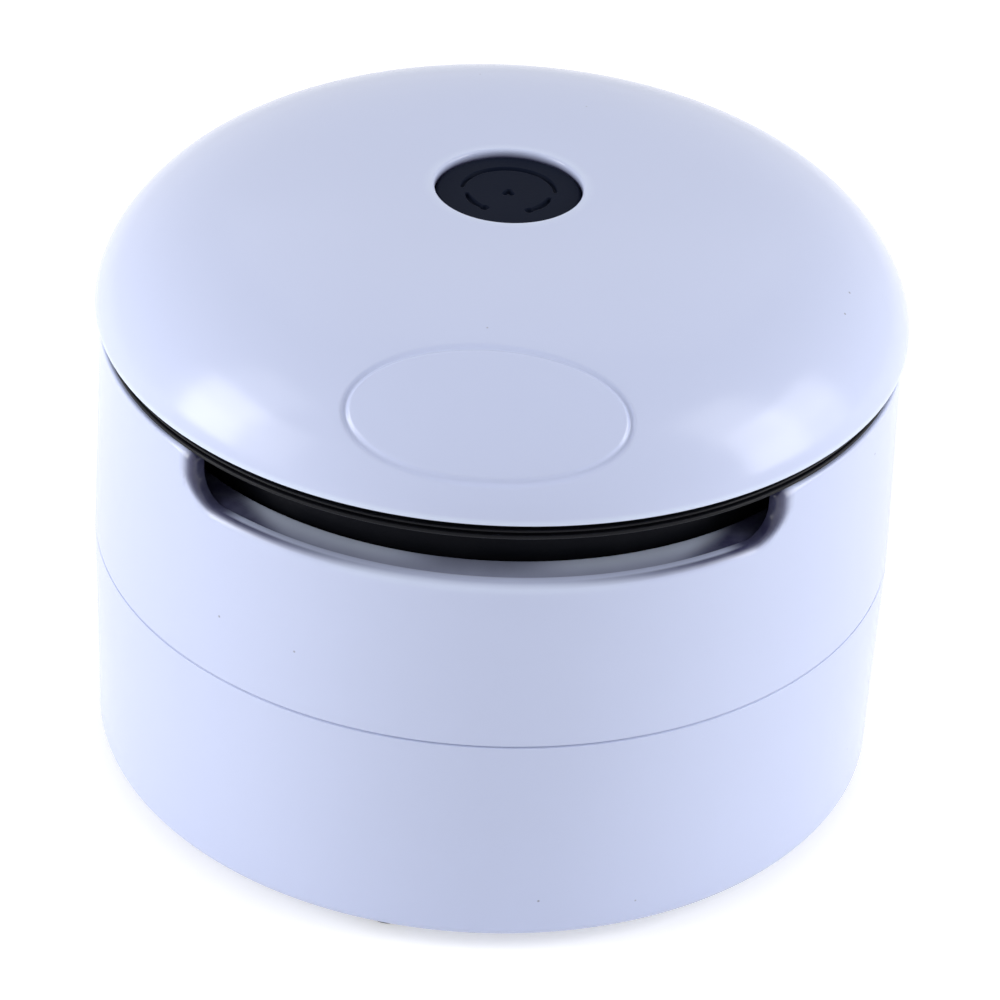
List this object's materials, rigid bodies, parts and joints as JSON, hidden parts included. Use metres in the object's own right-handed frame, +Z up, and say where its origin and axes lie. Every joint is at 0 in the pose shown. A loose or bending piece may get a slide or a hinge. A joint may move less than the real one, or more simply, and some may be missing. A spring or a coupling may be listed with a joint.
{
  "type": "desktop mini vacuum cleaner",
  "caption": "Round desktop mini vacuum with a domed cap, central push button, outlet notch in the rim, fan and filter inside, and a twist-off dust cup.",
  "frame": {"origin": "centre of the bounding box at the underside of the feet, on the object's axis", "axes": "+Z up along the axis of the round shell; -Y towards the front, where the outlet notch is; +X to the right seen from the front"},
  "size_m": [0.086, 0.086, 0.0677],
  "materials": {
    "shell": "smooth glossy cool white",
    "black_gloss": "semi gloss black",
    "black_moulding": "fine satin black",
    "grey_moulding": "satin grey",
    "rubber": "matt",
    "steel": "drawn",
    "magnet": "dull",
    "winding": "laquered copper over laminations",
    "brass": "satin",
    "bell": "natural nylon",
    "board": "solder mask",
    "cell_jacket": "printed jacket",
    "mesh": "fine white mesh",
    "bristle": "nylon bristles"
  },
  "bodies": {
    "root": {"upper_body": "shell", "battery_tray": "black_moulding", "fan_housing": "black_moulding", "intake_grille": "black_moulding", "housing_screws": "steel", "battery_front": "cell_jacket", "battery_back": "cell_jacket", "spring_contacts": "steel", "plate_contacts": "steel", "motor_can": "steel", "motor_magnets": "magnet", "motor_end_bell": "bell", "motor_terminals": "brass", "motor_bushing": "brass", "switch_body": "black_moulding", "switch_spring": "steel", "switch_pcb": "board", "pcb_screws": "steel"},
    "cap": {"top_cap": "shell"},
    "button": {"power_button": "black_gloss", "switch_plunger": "bell"},
    "rotor": {"impeller": "grey_moulding", "motor_shaft": "steel", "armature": "winding"},
    "filter": {"filter_frame": "black_moulding", "filter_grille": "black_moulding", "filter_mesh": "mesh", "seal_ring": "rubber"},
    "cup": {"dust_cup": "shell", "inlet_duct": "black_moulding", "brush_backing": "black_moulding", "brush_bristles": "bristle", "foot_front": "rubber", "foot_right": "rubber", "foot_back": "rubber", "foot_left": "rubber"}
  },
  "joints": [
    {"name": "cap_lift", "type": "slide", "parent": "root", "child": "cap", "axis": [0, 0, 1], "range_m": [0, 0.03]},
    {"name": "button_press", "type": "slide", "parent": "root", "child": "button", "axis": [0, 0, -1], "range_m": [0, 0.0015], "stiffness_N_per_m": 300, "deforming": ["switch_spring"]},
    {"name": "rotor_spin", "type": "hinge", "parent": "root", "child": "rotor", "pos_m": [0, 0, 0.038], "axis": [0, 0, 1], "continuous": true},
    {"name": "cup_drop", "type": "slide", "parent": "root", "child": "filter", "axis": [0, 0, -1], "range_m": [0, 0.0101]},
    {"name": "cup_twist", "type": "hinge", "parent": "filter", "child": "cup", "pos_m": [0, 0, 0.0265], "axis": [0, 0, -1], "range_deg": [0, 120]}
  ],
  "couplings": [
    {"joint": "cup_drop", "follows": "cup_twist", "m_per_rad": 0.0047746}
  ]
}
